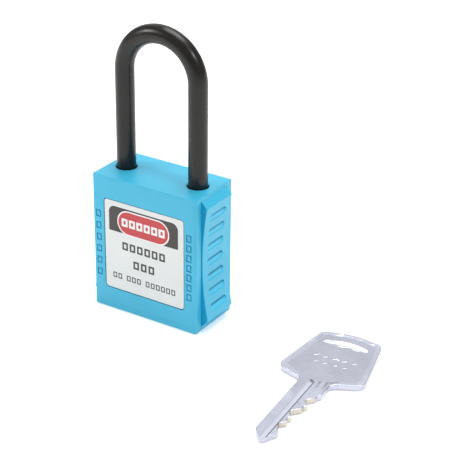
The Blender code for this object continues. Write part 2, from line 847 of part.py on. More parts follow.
def bolt_guide():
    """The block at the top of the chamber, with the channel that the bolt slides in."""
    guide = box(
        "bolt_guide",
        (-GUIDE_HALF_W, -GUIDE_HALF_D, GUIDE_BOTTOM),
        (GUIDE_HALF_W, GUIDE_HALF_D, GUIDE_TOP),
    )
    channel = box(
        "bolt_channel",
        (BOLT_LEFT - GAP, BOLT_Y[0] - GAP, BOLT_BOTTOM - GAP),
        (GUIDE_HALF_W + THROUGH, BOLT_Y[1] + GAP, BOLT_TOP + GAP),
        True,
    )
    sweep = CRANK_R + 2 * GAP
    window = box(
        "crank_window",
        (PLUG_X - BOLT_THROW / 2 - sweep, BOLT_THROW / 2 - sweep, GUIDE_BOTTOM - THROUGH),
        (GUIDE_HALF_W + THROUGH, CRANK_E + sweep, BOLT_BOTTOM),
        True,
    )
    cut(guide, channel, window)
    return paint(guide, "zinc")


def retaining_screw():
    """The long screw down the toe bore that pulls the cylinder's flange up into the case."""
    head_bottom = TOE_BORE_FLOOR + GAP
    top = head_bottom + SCREW_HEAD_T
    profile = [
        (0, top),
        (SCREW_HEAD_R, top),
        (SCREW_HEAD_R, head_bottom),
        (SCREW_R, head_bottom),
        (SCREW_R, SCREW_BOTTOM),
        (0, SCREW_BOTTOM),
    ]
    screw = turned("retaining_screw", profile, (SCREW_X, 0, 0), steps=SMALL_HOLE_SIDES)
    reach = SCREW_HEAD_R + THROUGH
    low = (SCREW_X - reach, -SCREW_SLOT_W / 2, top - SCREW_HEAD_T / 2)
    cut(screw, box("driver_slot", low, (SCREW_X + reach, SCREW_SLOT_W / 2, top + THROUGH), True))
    return paint(screw, "spring_steel")


# Key


def blade_width(distance):
    """The blade's width at a distance from the shoulder: each cut is a flat with sloping sides."""
    width = BLADE_W
    for index, left in enumerate(CUT_WIDTHS):
        away = abs(distance - PIN_FIRST - PIN_PITCH * index) - CUT_FLAT
        width = min(width, left + CUT_SLOPE * max(0.0, away))
    return width


def cut_edge():
    """Points along the cut edge, at each cut's two ends and at the peak between two cuts."""
    first = PIN_FIRST - CUT_FLAT - (BLADE_W - CUT_WIDTHS[0]) / CUT_SLOPE
    edge = KEY_SPINE - BLADE_W
    points = [(0, edge - STOP_PROUD), (-first / 2, edge), (-first, edge)]
    for index, left in enumerate(CUT_WIDTHS):
        middle = PIN_FIRST + PIN_PITCH * index
        points += [(-(middle - CUT_FLAT), KEY_SPINE - left), (-(middle + CUT_FLAT), KEY_SPINE - left)]
        if index + 1 < PIN_COUNT:
            rise = CUT_WIDTHS[index + 1] - left
            peak = middle + PIN_PITCH / 2 + rise / (2 * CUT_SLOPE)
            points.append((-peak, KEY_SPINE - blade_width(peak)))
    return points


def key_outline():
    """The blank's outline with its cuts: up the spine side, round the bow and down the cut side."""
    tip = [
        (-BLADE_L + TIP_CUT_SLOPE_L, KEY_SPINE - CUT_WIDTHS[0], 0),
        (-BLADE_L, KEY_SPINE - TIP_FROM_SPINE, TIP_R),
        (-BLADE_L + TIP_SPINE_SLOPE_L, KEY_SPINE, TIP_SPINE_R),
    ]
    bow = [
        (NECK_L, KEY_SPINE, NECK_R),
        (BOW_BASE, BOW_HALF_W, BOW_LOBE_R),
        (BOW_TOP, BOW_TOP_HALF_W, BOW_TOP_R),
        (BOW_TOP + BOW_CROWN, 0, BOW_CROWN_R),
        (BOW_TOP, -BOW_TOP_HALF_W, BOW_TOP_R),
        (BOW_BASE, -BOW_HALF_W, BOW_LOBE_R),
        (NECK_L, -KEY_SPINE, NECK_R),
    ]
    return rounded_outline(bow + [(x, y, 0) for x, y in cut_edge()] + tip)


def ring_slot():
    """The arched slot in the bow that a key ring goes through."""
    corners = [
        (RING_LOW, -RING_HALF_W, RING_END_R),
        (RING_LOW, RING_HALF_W, RING_END_R),
        (RING_HIGH_END, RING_HALF_W, RING_END_R),
        (RING_HIGH, 0, BOW_CROWN_R),
        (RING_HIGH_END, -RING_HALF_W, RING_END_R),
    ]
    return rounded_outline(corners)


def key():
    """The key, flat on the ground, with its spine at -X and one groove along the blade."""
    flat = curve_object("key", [key_outline(), ring_slot()], KEY_T)
    middle_y = KEY_SPINE - BLADE_GROOVE_FROM_SPINE
    half = BLADE_GROOVE_W / 2
    corners = [
        (-BLADE_L - THROUGH, middle_y - half, 0),
        (-BLADE_L - THROUGH, middle_y + half, 0),
        (BLADE_GROOVE_END, middle_y + half, half),
        (BLADE_GROOVE_END, middle_y - half, half),
    ]
    groove = curve_object("blade_groove", [rounded_outline(corners)], KEY_T, cutter=True)
    for obj, bottom in ((flat, 0), (groove, KEY_T - BLADE_GROOVE_DEPTH)):
        obj.location = Vector((*KEY_SHOULDER, bottom + KEY_T / 2)) * MM
        obj.rotation_euler.z = KEY_HEADING
    blank = as_mesh(flat)
    cut(blank, as_mesh(groove))
    return paint(blank, "key_nickel")


clear_scene()
PARTS = new_collection("safety_padlock")
CUTTERS = new_collection("cutters")
lift_pivot = pivot("shackle_lift_axis", (-LEG_X, 0, CASE_H))
turn_pivot = pivot("plug_turn_axis", (PLUG_X, 0, 0))
throw_pivot = pivot("bolt_throw_axis", (BOLT_TIP, 0, (BOLT_BOTTOM + BOLT_TOP) / 2))
body_shell()
base_cover()
label("front_label", -1)
label("back_label", 1)
shackle(lift_pivot)
shackle_spring()
shackle_stop_pin()
cylinder_housing()
pin_chamber_cover()
cylinder_plug(turn_pivot)
plug_retaining_clip(turn_pivot)
key_pins(turn_pivot)
driver_pins()
drive_cam(turn_pivot)
lock_bolt(throw_pivot)
bolt_guide()
retaining_screw()
key()
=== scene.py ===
"""Looks of the safety padlock and its key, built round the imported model.

X is the padlock's width, Y its depth (front face at -Y), Z its height. Lengths are in millimetres, and
MM turns them into metres.
"""

import math

import bmesh
import bpy
from mathutils import Matrix, Vector


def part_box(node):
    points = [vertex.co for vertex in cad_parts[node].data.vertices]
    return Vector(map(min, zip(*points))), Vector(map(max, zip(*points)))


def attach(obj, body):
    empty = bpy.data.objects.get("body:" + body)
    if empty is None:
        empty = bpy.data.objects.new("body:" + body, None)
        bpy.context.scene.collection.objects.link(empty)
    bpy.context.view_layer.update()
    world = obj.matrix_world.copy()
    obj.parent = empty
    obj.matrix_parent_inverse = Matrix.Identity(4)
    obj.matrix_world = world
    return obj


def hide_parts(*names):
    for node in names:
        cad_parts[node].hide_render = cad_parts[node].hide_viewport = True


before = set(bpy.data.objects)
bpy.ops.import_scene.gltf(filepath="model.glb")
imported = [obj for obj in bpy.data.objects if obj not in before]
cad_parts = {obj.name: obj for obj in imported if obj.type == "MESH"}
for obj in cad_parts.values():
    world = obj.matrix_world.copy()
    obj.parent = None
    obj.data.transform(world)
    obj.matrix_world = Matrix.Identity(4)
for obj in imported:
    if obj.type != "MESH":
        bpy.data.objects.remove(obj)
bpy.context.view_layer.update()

MM = 0.001
GAP = 0.3  # clearance between pieces that touch or slide
THROUGH = 1.0  # how far a cutter runs past the face it opens
WELD = 0.000002  # metres: points closer than this are one
AXIS_Z = Vector((0, 0, 1))

# Studio: each light's name, place, aim, size and power, the place and aim in metres
WORLD_STRENGTH = 0.36
FLOOR_HALF = 6.0
FLOOR_DROP = 0.0002
LIGHTS = (
    ("key_light", (-0.85, -0.65, 0.65), (0, 0, 0.04), 0.35, 5.3),
    ("top_light", (0.0, 0.25, 1.2), (0, 0, 0.03), 0.8, 14.5),
    ("rim_light", (0.85, -0.05, 0.80), (0, 0, 0.04), 0.2, 3.3),
    ("backdrop_light", (-0.72, 1.14, 0.67), (0, 0, 0.02), 1.3, 3.6),
)

# Camera
CAMERA_PLACE = (251.94, -359.65, 243.89)
CAMERA_AZIMUTH = 32.283
CAMERA_ELEVATION = 26.334
CAMERA_ROLL = 0.639
CAMERA_LENS = 123.84
CAMERA_SENSOR = 36.0
CAMERA_CLIP = (0.01, 10.0)

# Case
CASE_W = 38.0
CASE_D = 20.0
CASE_H = 45.0
CASE_EDGE_R = 0.6
CASE_TOP_R = 0.4
CASE_FOOT_R = 0.25
CASE_LEVEL_STEP = 0.11  # spacing of the grid: up the case, across its front, sides, slots and pad edges
FRONT_STEP = 2.0
SIDE_STEP = 0.3
SLOT_STEP = 0.1
EDGE_STEP = 0.06
PAD_HALF_D = 7.0
PAD_EDGE_R = 0.3
PAD_FOOT = (1.4, 3.9)  # heights of a pad's lower end and its lower lip
PAD_HEAD = (41.8, 44.0)  # heights of its upper lip and its upper end
PAD_LOW_LIP = 2.45  # how far it stands proud at its lower lip, its upper lip and its waist
PAD_HIGH_LIP = 2.05
PAD_WAIST = 0.4
PAD_WAIST_Z = 23.0
LIP_BLEND = 0.35
SLOT_COUNT = 7
SLOT_PITCH = 5.05
SLOT_MID_Z = 22.4
SLOT_R = 1.3
SLOT_HALF_L = 3.15
SLOT_DEPTH = 0.8
SLOT_WALL = 0.35
# Painted shade: above this height the slot's ramp is drawn in a darker blue
SLOT_SHADE_LOW = 0.12  # height over a slot's middle above which its ramp is darker
SLOT_START_DEPTH = 0.2  # share of a slot's depth at the low end of its ramp
SLOT_RAMP_POWER = 1.3
FLANGE_SEAT_RIGHT = 16.9
FLANGE_SEAT_TOP = 4.7
CHAMBER_HALF_D = 7.4
CHAMBER_LEFT = -9.0
LOWER_CHAMBER_RIGHT = 13.6
LOWER_CHAMBER_TOP = 33.4
UPPER_CHAMBER_RIGHT = 9.0
UPPER_CHAMBER_TOP = 43.3
BOLT_WINDOW = ((8.0, -2.7, 38.3), (12.3, 4.5, 41.5))
TOE_BORE_FLOOR = 34.3
HEEL_BORE_OVERLAP = 0.5
BORE_SINK = 0.25
COVER_CORNER_R = 1.5
COVER_HOLE_R = 5.2
COVER_HOLE_LIP = 0.5

# Engraved marks that stand in two columns beside the front label: x, highest z, lowest z, count
MARK_COLUMNS = ((-16.9, 31.9, 11.8, 6), (16.6, 32.2, 12.3, 7))
MARK_W = 1.9
MARK_H = 2.4
MARK_STROKE = 0.42
MARK_DEPTH = 0.3

# Label, with its printed shapes (name, half width, low z, high z, corner radii, ink, layer) and its rows
# of small frames in place of words (name, middle z, frames in each word, width, height, stroke, gap, ink,
# layer)
LABEL_W = 29.2
LABEL_H = 30.1
LABEL_Z = 22.45
LABEL_R = 1.0
RECESS_DEPTH = 0.8
LABEL_BACK = 9.5
LABEL_FACE = 9.9
PRINT_T = 0.022
PRINT_ROOT = 0.005
PRINT_X = -0.2
PRINT_SHAPES = (
    ("band", 12.8, 27.3, 35.8, (0.3, 0.3, 2.2, 2.2), "print_dark", 1),
    ("pill_rim", 9.65, 26.95, 35.3, (4.1, 4.1, 4.1, 4.1), "print_white", 2),
    ("pill", 9.2, 27.4, 34.85, (3.68, 3.68, 3.68, 3.68), "print_red", 3),
)
PRINT_ROWS = (
    ("heading", 31.15, (6,), 2.25, 2.7, 0.72, 0.5, "print_white", 4),
    ("line_one", 23.0, (6,), 2.1, 2.7, 0.62, 0.66, "print_grey", 1),
    ("line_two", 17.4, (3,), 2.1, 2.7, 0.62, 0.75, "print_grey", 1),
    ("line_three", 12.1, (2, 3, 6), 1.4, 1.9, 0.34, 0.52, "print_grey", 1),
)
WORD_SPACE = 1.35

# Shackle
ROD_R = 3.0
LEG_X = 13.2
LEG_TOP = CASE_H + 32.0
LEG_END_R = 0.5
LEG_END_STEPS = 3
LEG_STEP = 3.0
TOE_BOTTOM = 36.0
BOW_STEPS = 64
ROD_SIDES = 40
BOLT_NOTCH_Z = (38.3, 41.5)
BOLT_NOTCH_DEPTH = 2.2
STOP_NOTCH_Z = (22.9, 35.3)
STOP_NOTCH_DEPTH = 1.6
NOTCH_HALF_W = 4
BORE_R = ROD_R + GAP


# Materials


def principled(name, colour, roughness, metallic=0.0, **sockets):
    """A material with its Principled shader, its nodes and its links."""
    material = bpy.data.materials.new(name)
    material.use_nodes = True
    tree = material.node_tree
    shader = tree.nodes["Principled BSDF"]
    shader.inputs["Base Color"].default_value = (*colour, 1.0)
    shader.inputs["Roughness"].default_value = roughness
    shader.inputs["Metallic"].default_value = metallic
    for socket, value in sockets.items():
        shader.inputs[socket.replace("_", " ")].default_value = value
    return material, tree, shader


def noise(tree, scale, detail=4.0, stretch=(1, 1, 1), roughness=0.5):
    """Object-space noise with a feature size of 1/scale metres, stretched along the axes."""
    place = tree.nodes.new("ShaderNodeTexCoord")
    mapping = tree.nodes.new("ShaderNodeMapping")
    mapping.inputs["Scale"].default_value = stretch
    texture = tree.nodes.new("ShaderNodeTexNoise")
    texture.inputs["Scale"].default_value = scale
    texture.inputs["Detail"].default_value = detail
    texture.inputs["Roughness"].default_value = roughness
    tree.links.new(place.outputs["Object"], mapping.inputs["Vector"])
    tree.links.new(mapping.outputs["Vector"], texture.inputs["Vector"])
    return texture.outputs["Fac"]


def vary_colour(tree, shader, factor, dark, light, low=0.35, high=0.65):
    """Blend the base colour from dark to light as factor rises from low to high."""
    ramp = tree.nodes.new("ShaderNodeValToRGB")
    ramp.color_ramp.elements[0].position = low
    ramp.color_ramp.elements[0].color = (*dark, 1.0)
    ramp.color_ramp.elements[1].position = high
    ramp.color_ramp.elements[1].color = (*light, 1.0)
    tree.links.new(factor, ramp.inputs["Fac"])
    tree.links.new(ramp.outputs["Color"], shader.inputs["Base Color"])


def vary_roughness(tree, shader, factor, low, high):
    """Spread the roughness between low and high, following factor."""
    spread = tree.nodes.new("ShaderNodeMapRange")
    spread.inputs["From Min"].default_value = 0.3
    spread.inputs["From Max"].default_value = 0.7
    spread.inputs["To Min"].default_value = low
    spread.inputs["To Max"].default_value = high
    tree.links.new(factor, spread.inputs["Value"])
    tree.links.new(spread.outputs["Result"], shader.inputs["Roughness"])


def bump(tree, shader, factor, height):
    """Raise the surface by up to height metres, following factor."""
    node = tree.nodes.new("ShaderNodeBump")
    node.inputs["Distance"].default_value = height
    node.inputs["Strength"].default_value = 1.0
    tree.links.new(factor, node.inputs["Height"])
    tree.links.new(node.outputs["Normal"], shader.inputs["Normal"])


def scaled(colour, factor):
    """A colour made lighter or darker by factor."""
    return tuple(min(1.0, channel * factor) for channel in colour)


def plastic(name, colour, roughness, grain_height, spread=0.06, **sockets):
    """Moulded plastic: cloudy colour, uneven gloss and a fine spark-eroded grain."""
    material, tree, shader = principled(name, colour, roughness, **sockets)
    cloud = noise(tree, 90.0, 3.0)
    vary_colour(tree, shader, cloud, scaled(colour, 1 - spread), scaled(colour, 1 + spread))
    vary_roughness(tree, shader, noise(tree, 600.0, 2.0), roughness - 0.05, roughness + 0.06)
    bump(tree, shader, noise(tree, 4200.0, 3.0), grain_height)
    return material


def metal(name, colour, roughness, scratch_height, stretch=(1, 12, 1), spread=0.08, **sockets):
    """Worked metal: drawn scratches along one axis, and patches of duller and brighter skin."""
    material, tree, shader = principled(name, colour, roughness, 1.0, **sockets)
    patches = noise(tree, 140.0, 4.0)
    vary_colour(tree, shader, patches, scaled(colour, 1 - spread), scaled(colour, 1 + spread))
    vary_roughness(tree, shader, noise(tree, 900.0, 4.0, stretch), roughness - 0.07, roughness + 0.1)
    bump(tree, shader, noise(tree, 1500.0, 5.0, stretch), scratch_height)
    return material


BLUE = (0.036, 0.402, 0.600)
BLACK = (0.010, 0.009, 0.008)
# Painted shade: a darker blue for the band under the slots' upper edges and for the foot's underside
SHADED_BLUE = (0.006, 0.25, 0.42)
# Painted shade: a darker blue for the pads' front and back walls
PAD_WALL_SHADE_BLUE = (0.004, 0.31, 0.54)
MATERIALS = {
    "case": plastic("case_blue_abs", BLUE, 0.42, 0.00002, 0.03, Specular_IOR_Level=0.5),
    # A lighter copy of the case blue on the slots' ramps: painted light
    "scoop_painted_light": plastic("case_blue_scoop_painted_light", scaled(BLUE, 1.22), 0.42, 0.000008, 0.02, Specular_IOR_Level=0.5),
    # Painted shade under the slots' upper edges and along the foot's underside
    "painted_shade": plastic("case_blue_painted_shade", SHADED_BLUE, 0.5, 0.00001, 0.03),
    # Painted shade on the pads' front and back walls
    "pad_wall_painted_shade": plastic("case_blue_pad_wall_painted_shade", PAD_WALL_SHADE_BLUE, 0.5, 0.00001, 0.03, Specular_IOR_Level=0.2),
    "cover": plastic("cover_blue_abs", scaled(BLUE, 0.92), 0.45, 0.00003, 0.04),
    "nylon": plastic("shackle_black_nylon", BLACK, 0.28, 0.00001, 0.12, Specular_IOR_Level=0.32),
    "label": plastic("label_white_film", (0.635, 0.66, 0.655), 0.42, 0.000006, 0.015),
    "print_dark": plastic("print_dark_ink", (0.032, 0.028, 0.024), 0.42, 0.000004, 0.10),
    "print_grey": plastic("print_grey_ink", (0.045, 0.042, 0.040), 0.45, 0.000004, 0.10),
    "print_red": plastic("print_red_ink", (0.47, 0.032, 0.038), 0.40, 0.000004, 0.05),
    "print_white": plastic("print_white_ink", (0.74, 0.73, 0.73), 0.42, 0.000004, 0.02),
    "key": metal("key_nickel_plate", (0.455, 0.465, 0.545), 0.30, 0.000008, (1, 9, 1), 0.05),
    "key_cut": metal("key_milled_brass", (0.50, 0.465, 0.40), 0.34, 0.00001, (9, 1, 1)),
    "key_satin": plastic("key_plated_step", (0.48, 0.49, 0.59), 0.35, 0.000004, 0.03),
    # Near-white metal on the ring slot's walls: a painted reflection
    "key_slot_painted_reflection": metal("key_slot_wall_painted_reflection", (0.96, 0.96, 0.98), 0.18, 0.000004, (1, 1, 1), 0.02),
    # A lighter copy of the nickel on the key's top faces: painted reflection
    "key_top_painted_reflection": metal("key_nickel_top_painted_reflection", (0.52, 0.535, 0.625), 0.30, 0.000008, (1, 9, 1), 0.05),
    # A lighter nickel on the groove's floor: painted light
    "key_floor_painted_light": metal("key_groove_floor_painted_light", (0.64, 0.66, 0.76), 0.26, 0.000006, (1, 12, 1), 0.04),
    # A near-black on the score line beside the groove: painted shade
    "key_score_painted_shade": metal("key_score_line_painted_shade", (0.13, 0.135, 0.165), 0.5, 0.00001, (1, 9, 1)),
    "brass": metal("turned_brass", (0.68, 0.50, 0.22), 0.30, 0.00001, (1, 1, 10)),
    "zinc": metal("cast_zinc", (0.46, 0.46, 0.48), 0.42, 0.00003, (1, 1, 1), 0.12),
    "steel": metal("spring_steel_wire", (0.42, 0.42, 0.44), 0.28, 0.000008, (1, 1, 8)),
}


# Mesh helpers


def new_object(name, mesh):
    """An object in the scene for a mesh or a curve."""
    obj = bpy.data.objects.new(name, mesh)
    bpy.context.scene.collection.objects.link(obj)
    return obj


def piece(obj, body, material, replaced=()):
    """Make obj a piece: its material, the body that it rides and the CAD nodes that it stands for."""
    obj.data.materials.clear()
    obj.data.materials.append(MATERIALS[material])
    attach(obj, body)
    if replaced:
        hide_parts(*replaced)
    return obj


def mesh_from(name, bm):
    """A mesh with the contents of bm, which is freed."""
    mesh = bpy.data.meshes.new(name)
    bm.to_mesh(mesh)
    bm.free()
    return mesh


def smooth(obj, degrees=30.0, weighted=True):
    """Shade obj smooth, with sharp edges where its faces meet at more than the angle."""
    obj.data.shade_smooth()
    obj.data.set_sharp_from_angle(angle=math.radians(degrees))
    if weighted:
        modifier = obj.modifiers.new("Flat faces stay flat", "WEIGHTED_NORMAL")
        modifier.keep_sharp = True
        modifier.weight = 80
    return obj


def evaluated_mesh(obj):
    """A new mesh of obj as its modifiers leave it."""
    bpy.context.view_layer.update()
    depsgraph = bpy.context.evaluated_depsgraph_get()
    return bpy.data.meshes.new_from_object(obj.evaluated_get(depsgraph))


def baked(obj):
    """Apply obj's modifiers and transform, so that its mesh is final and in the frame."""
    mesh = evaluated_mesh(obj)
    mesh.transform(obj.matrix_world)
    name = obj.name
    bpy.data.objects.remove(obj)
    return new_object(name, mesh)


def combine(target, others, operation="DIFFERENCE"):
    """Cut others from target, or join them to it, one after the other, and remove them."""
    for other in others:
        modifier = target.modifiers.new("combine", "BOOLEAN")
        modifier.operation = operation
        modifier.solver = "EXACT"
        modifier.object = other
    result = baked(target)
    for other in others:
        bpy.data.objects.remove(other)
    return result


def box(name, low, high, edge_r=0.0, segments=4):
    """A box between two corners; edge_r rounds its upright edges."""
    low, high = Vector(low), Vector(high)
    bm = bmesh.new()
    bmesh.ops.create_cube(bm, size=1.0)
    bmesh.ops.scale(bm, vec=(high - low) * MM, verts=bm.verts)
    if edge_r:
        upright = [e for e in bm.edges if abs((e.verts[0].co - e.verts[1].co).normalized().z) > 0.9]
        bmesh.ops.bevel(bm, geom=upright, offset=edge_r * MM, segments=segments, affect="EDGES", profile=0.5)
    bmesh.ops.translate(bm, verts=bm.verts, vec=(low + high) / 2 * MM)
    return new_object(name, mesh_from(name, bm))


def turned(name, profile, place=(0, 0, 0), direction=AXIS_Z, sides=64):
    """A closed turned body from (radius, height) points, on the axis through place along direction."""
    bm = bmesh.new()
    rings = []
    for radius, height in profile:
        if radius == 0:
            rings.append([bm.verts.new((0, 0, height * MM))])
            continue
        ring = []
        for side in range(sides):
            angle = math.tau * side / sides
            place_on_ring = Vector((radius * math.cos(angle), radius * math.sin(angle), height))
            ring.append(bm.verts.new(place_on_ring * MM))
        rings.append(ring)
    for upper, lower in zip(rings, rings[1:]):
        for side in range(sides):
            after = (side + 1) % sides
            if len(upper) == 1:
                bm.faces.new((upper[0], lower[side], lower[after]))
            elif len(lower) == 1:
                bm.faces.new((upper[side], lower[0], upper[after]))
            else:
                bm.faces.new((upper[side], lower[side], lower[after], upper[after]))
    bmesh.ops.recalc_face_normals(bm, faces=bm.faces)
    obj = new_object(name, mesh_from(name, bm))
    turn = AXIS_Z.rotation_difference(Vector(direction)).to_matrix().to_4x4()
    obj.data.transform(Matrix.Translation(Vector(place) * MM) @ turn)
    return obj


def cylinder(name, radius, low, high, sides=64):
    """An upright cylinder between two points of one vertical line."""
    height = high[2] - low[2]
    return turned(name, [(0, height), (radius, height), (radius, 0), (0, 0)], low, sides=sides)


def prism(name, outline, low, high, holes=(), edge_r=0.0):
    """A flat outline in the XY plane, with holes, raised from low to high; edge_r rounds its rims."""
    curve = bpy.data.curves.new(name, "CURVE")
    curve.dimensions = "2D"
    curve.fill_mode = "BOTH"
    curve.extrude = ((high - low) / 2 - edge_r) * MM
    if edge_r:
        curve.bevel_depth = edge_r * MM
        curve.bevel_resolution = 2
        curve.offset = -edge_r * MM
    for points in (outline, *holes):
        spline = curve.splines.new("POLY")
        spline.points.add(len(points) - 1)
        for place, (x, y) in zip(spline.points, points):
            place.co = (x * MM, y * MM, 0, 1)
        spline.use_cyclic_u = True
    obj = new_object(name, curve)
    obj.location.z = (low + high) / 2 * MM
    mesh = evaluated_mesh(obj)
    mesh.transform(obj.matrix_world)
    bpy.data.objects.remove(obj)
    bm = bmesh.new()
    bm.from_mesh(mesh)
    bmesh.ops.remove_doubles(bm, verts=bm.verts, dist=WELD)
    bmesh.ops.recalc_face_normals(bm, faces=bm.faces)
    bm.to_mesh(mesh)
    bm.free()
    return new_object(name, mesh)


def rounded_outline(corners, steps=8):
    """A closed outline through (x, y, radius) corners, each rounded by an arc of its radius."""
    outline = []
    count = len(corners)
    for index, (x, y, radius) in enumerate(corners):
        here = Vector((x, y))
        before = Vector(corners[index - 1][:2]) - here
        after = Vector(corners[(index + 1) % count][:2]) - here
        if radius == 0:
            outline.append((x, y))
            continue
        half = before.angle(after) / 2
        reach = radius / math.tan(half)
        start = here + before.normalized() * reach
        centre = here + (before.normalized() + after.normalized()).normalized() * (radius / math.sin(half))
        sweep = (start - centre).angle_signed(here + after.normalized() * reach - centre)
        for step in range(steps + 1):
            turn = Matrix.Rotation(-sweep * step / steps, 2)
            outline.append(tuple(centre + turn @ (start - centre)))
    return outline


def rectangle(x0, y0, x1, y1, radii):
    """A rounded rectangle, with radii in the order low-left, low-right, high-right, high-left."""
    corners = [(x0, y0, radii[0]), (x1, y0, radii[1]), (x1, y1, radii[2]), (x0, y1, radii[3])]
    return rounded_outline(corners)


def upright(side):
    """The turn that stands a flat drawing up on the front (side -1) or the back (side 1)."""
    stand = Matrix.Rotation(math.radians(90), 4, "X")
    return stand if side < 0 else Matrix.Rotation(math.radians(180), 4, "Z") @ stand


def frame_outlines(x, y, width, height, stroke):
    """Outer and inner outline of a small rectangular frame round (x, y)."""
    half_w, half_h = width / 2, height / 2
    outer = rectangle(x - half_w, y - half_h, x + half_w, y + half_h, [0.3 * stroke] * 4)
    half_w, half_h = half_w - stroke, half_h - stroke
    inner = rectangle(x - half_w, y - half_h, x + half_w, y + half_h, [0.2 * stroke] * 4)
    return outer, inner


def smooth_min(a, b, blend):
    """The lower of two values, with the corner between them rounded over blend."""
    share = max(0.0, min(1.0, 0.5 + 0.5 * (b - a) / blend))
    return b + (a - b) * share - blend * share * (1.0 - share)


# Case


def pad_rise(z):
    """How far a grip pad stands proud of the case's side at height z."""
    if z < PAD_WAIST_Z:
        share = (PAD_WAIST_Z - z) / (PAD_WAIST_Z - PAD_FOOT[1])
        waisted = PAD_WAIST + (PAD_LOW_LIP - PAD_WAIST) * share**2
    else:
        share = (z - PAD_WAIST_Z) / (PAD_HEAD[0] - PAD_WAIST_Z)
        waisted = PAD_WAIST + (PAD_HIGH_LIP - PAD_WAIST) * share**2
    foot = PAD_LOW_LIP * (z - PAD_FOOT[0]) / (PAD_FOOT[1] - PAD_FOOT[0])
    head = PAD_HIGH_LIP * (PAD_HEAD[1] - z) / (PAD_HEAD[1] - PAD_HEAD[0])
    return max(0.0, smooth_min(smooth_min(waisted, foot, LIP_BLEND), head, LIP_BLEND))


def slot_depth(y, z):
    """Depth of a scooped slot at a point of a pad's face: steep under its upper edge, then a ramp out."""
    index = round((z - SLOT_MID_Z) / SLOT_PITCH)
    if abs(index) > SLOT_COUNT // 2:
        return 0.0
    up = z - SLOT_MID_Z - index * SLOT_PITCH
    along = max(0.0, abs(y) - SLOT_HALF_L)
    inside = SLOT_R - math.hypot(along, up)
    if inside <= 0.0:
        return 0.0
    ramp = (up + SLOT_R) / (2 * SLOT_R)
    wall = min(1.0, inside / SLOT_WALL)
    share = SLOT_START_DEPTH + (1 - SLOT_START_DEPTH) * ramp**SLOT_RAMP_POWER
    return SLOT_DEPTH * share * wall * wall * (3 - 2 * wall)


def side_height(y, z):
    """Outward shape of the left and right sides: the pad with its rounded edge, and its slots."""
    rise = pad_rise(z)
    if rise == 0.0:
        return 0.0
    inside = PAD_HALF_D - abs(y)
    if inside <= 0.0:
        return 0.0
    edge_r = min(PAD_EDGE_R, rise)
    if inside < edge_r:
        rise -= edge_r - math.sqrt(edge_r**2 - (edge_r - inside) ** 2)
    return rise - slot_depth(y, z)


def spaced(start, end, step):
    """Evenly spaced values from start up to, but not including, end."""
    count = max(1, round((end - start) / step))
    return [start + (end - start) * index / count for index in range(count)]


def case_perimeter():
    """Points round the case with their outward normals and the face that they are on."""
    half_w, half_d, r = CASE_W / 2, CASE_D / 2, CASE_EDGE_R
    edge, slot_end = PAD_HALF_D, SLOT_HALF_L + SLOT_R + 0.1
    across = [*spaced(0, SLOT_HALF_L, SIDE_STEP), *spaced(SLOT_HALF_L, slot_end, SLOT_STEP)]
    across += [*spaced(slot_end, edge - 0.4, SIDE_STEP), *spaced(edge - 0.4, edge, EDGE_STEP)]
    across += [edge, edge + 0.02]
    across += spaced(edge + 0.15, half_d - r, SIDE_STEP)
    side = sorted({-y for y in across} | set(across))
    front = spaced(-(half_w - r), half_w - r, FRONT_STEP)
    points = [((x, -half_d), (0, -1), "front") for x in front]
    points += corner_arc(half_w - r, -(half_d - r), r, -90)
    points += [((half_w, y), (1, 0), "side") for y in side if abs(y) < half_d - r]
    points += corner_arc(half_w - r, half_d - r, r, 0)
    points += [((-x, half_d), (0, 1), "back") for x in front]
    points += corner_arc(-(half_w - r), half_d - r, r, 90)
    points += [((-half_w, -y), (-1, 0), "side") for y in side if abs(y) < half_d - r]
    points += corner_arc(-(half_w - r), -(half_d - r), r, 180)
    return points


def corner_arc(x, y, radius, start, steps=6):
    """Points of a quarter circle round (x, y), from start degrees, anticlockwise."""
    points = []
    for step in range(steps + 1):
        angle = math.radians(start + 90 * step / steps)
        normal = (math.cos(angle), math.sin(angle))
        points.append(((x + radius * normal[0], y + radius * normal[1]), normal, "corner"))
    return points


def case_levels():
    """Heights of the case's rings, with how far each is drawn in by the rounded foot and top."""
    levels = []
    steps = 4
    for step in range(steps):
        angle = math.radians(90 * step / steps)
        levels.append((CASE_FOOT_R * (1 - math.cos(angle)), CASE_FOOT_R * (1 - math.sin(angle))))
    levels += [(z, 0.0) for z in spaced(CASE_FOOT_R, CASE_H - CASE_TOP_R, CASE_LEVEL_STEP)]
    for step in range(steps + 2):
        angle = math.radians(90 * step / (steps + 1))
        levels.append((CASE_H - CASE_TOP_R * (1 - math.sin(angle)), CASE_TOP_R * (1 - math.cos(angle))))
    return levels


def outer_wall():
    """The case's outside as one closed body: a fine grid up its four walls, and flat ends."""
    bm = bmesh.new()
    perimeter = case_perimeter()
    rings = []
    for z, inset in case_levels():
        ring = []
        for (x, y), normal, face in perimeter:
            out = -inset
            if face == "side":
                out += side_height(y, z)
            ring.append(bm.verts.new(Vector((x + normal[0] * out, y + normal[1] * out, z)) * MM))
        rings.append(ring)
    count = len(perimeter)
    for lower, upper in zip(rings, rings[1:]):
        for index in range(count):
            after = (index + 1) % count
            bm.faces.new((lower[index], lower[after], upper[after], upper[index]))
    bm.faces.new(rings[0][::-1])
    bm.faces.new(rings[-1])
    return new_object("case_body", mesh_from("case_body", bm))


def leg_bore(name, x, floor):
    """A cutter for a shackle bore, with a small countersink at the top face."""
    top = CASE_H + THROUGH
    profile = [
        (0, top),
        (BORE_R + BORE_SINK + THROUGH, top),
        (BORE_R, CASE_H - BORE_SINK),
        (BORE_R, floor),
        (0, floor),
    ]
    return turned(name, profile, (x, 0, 0))


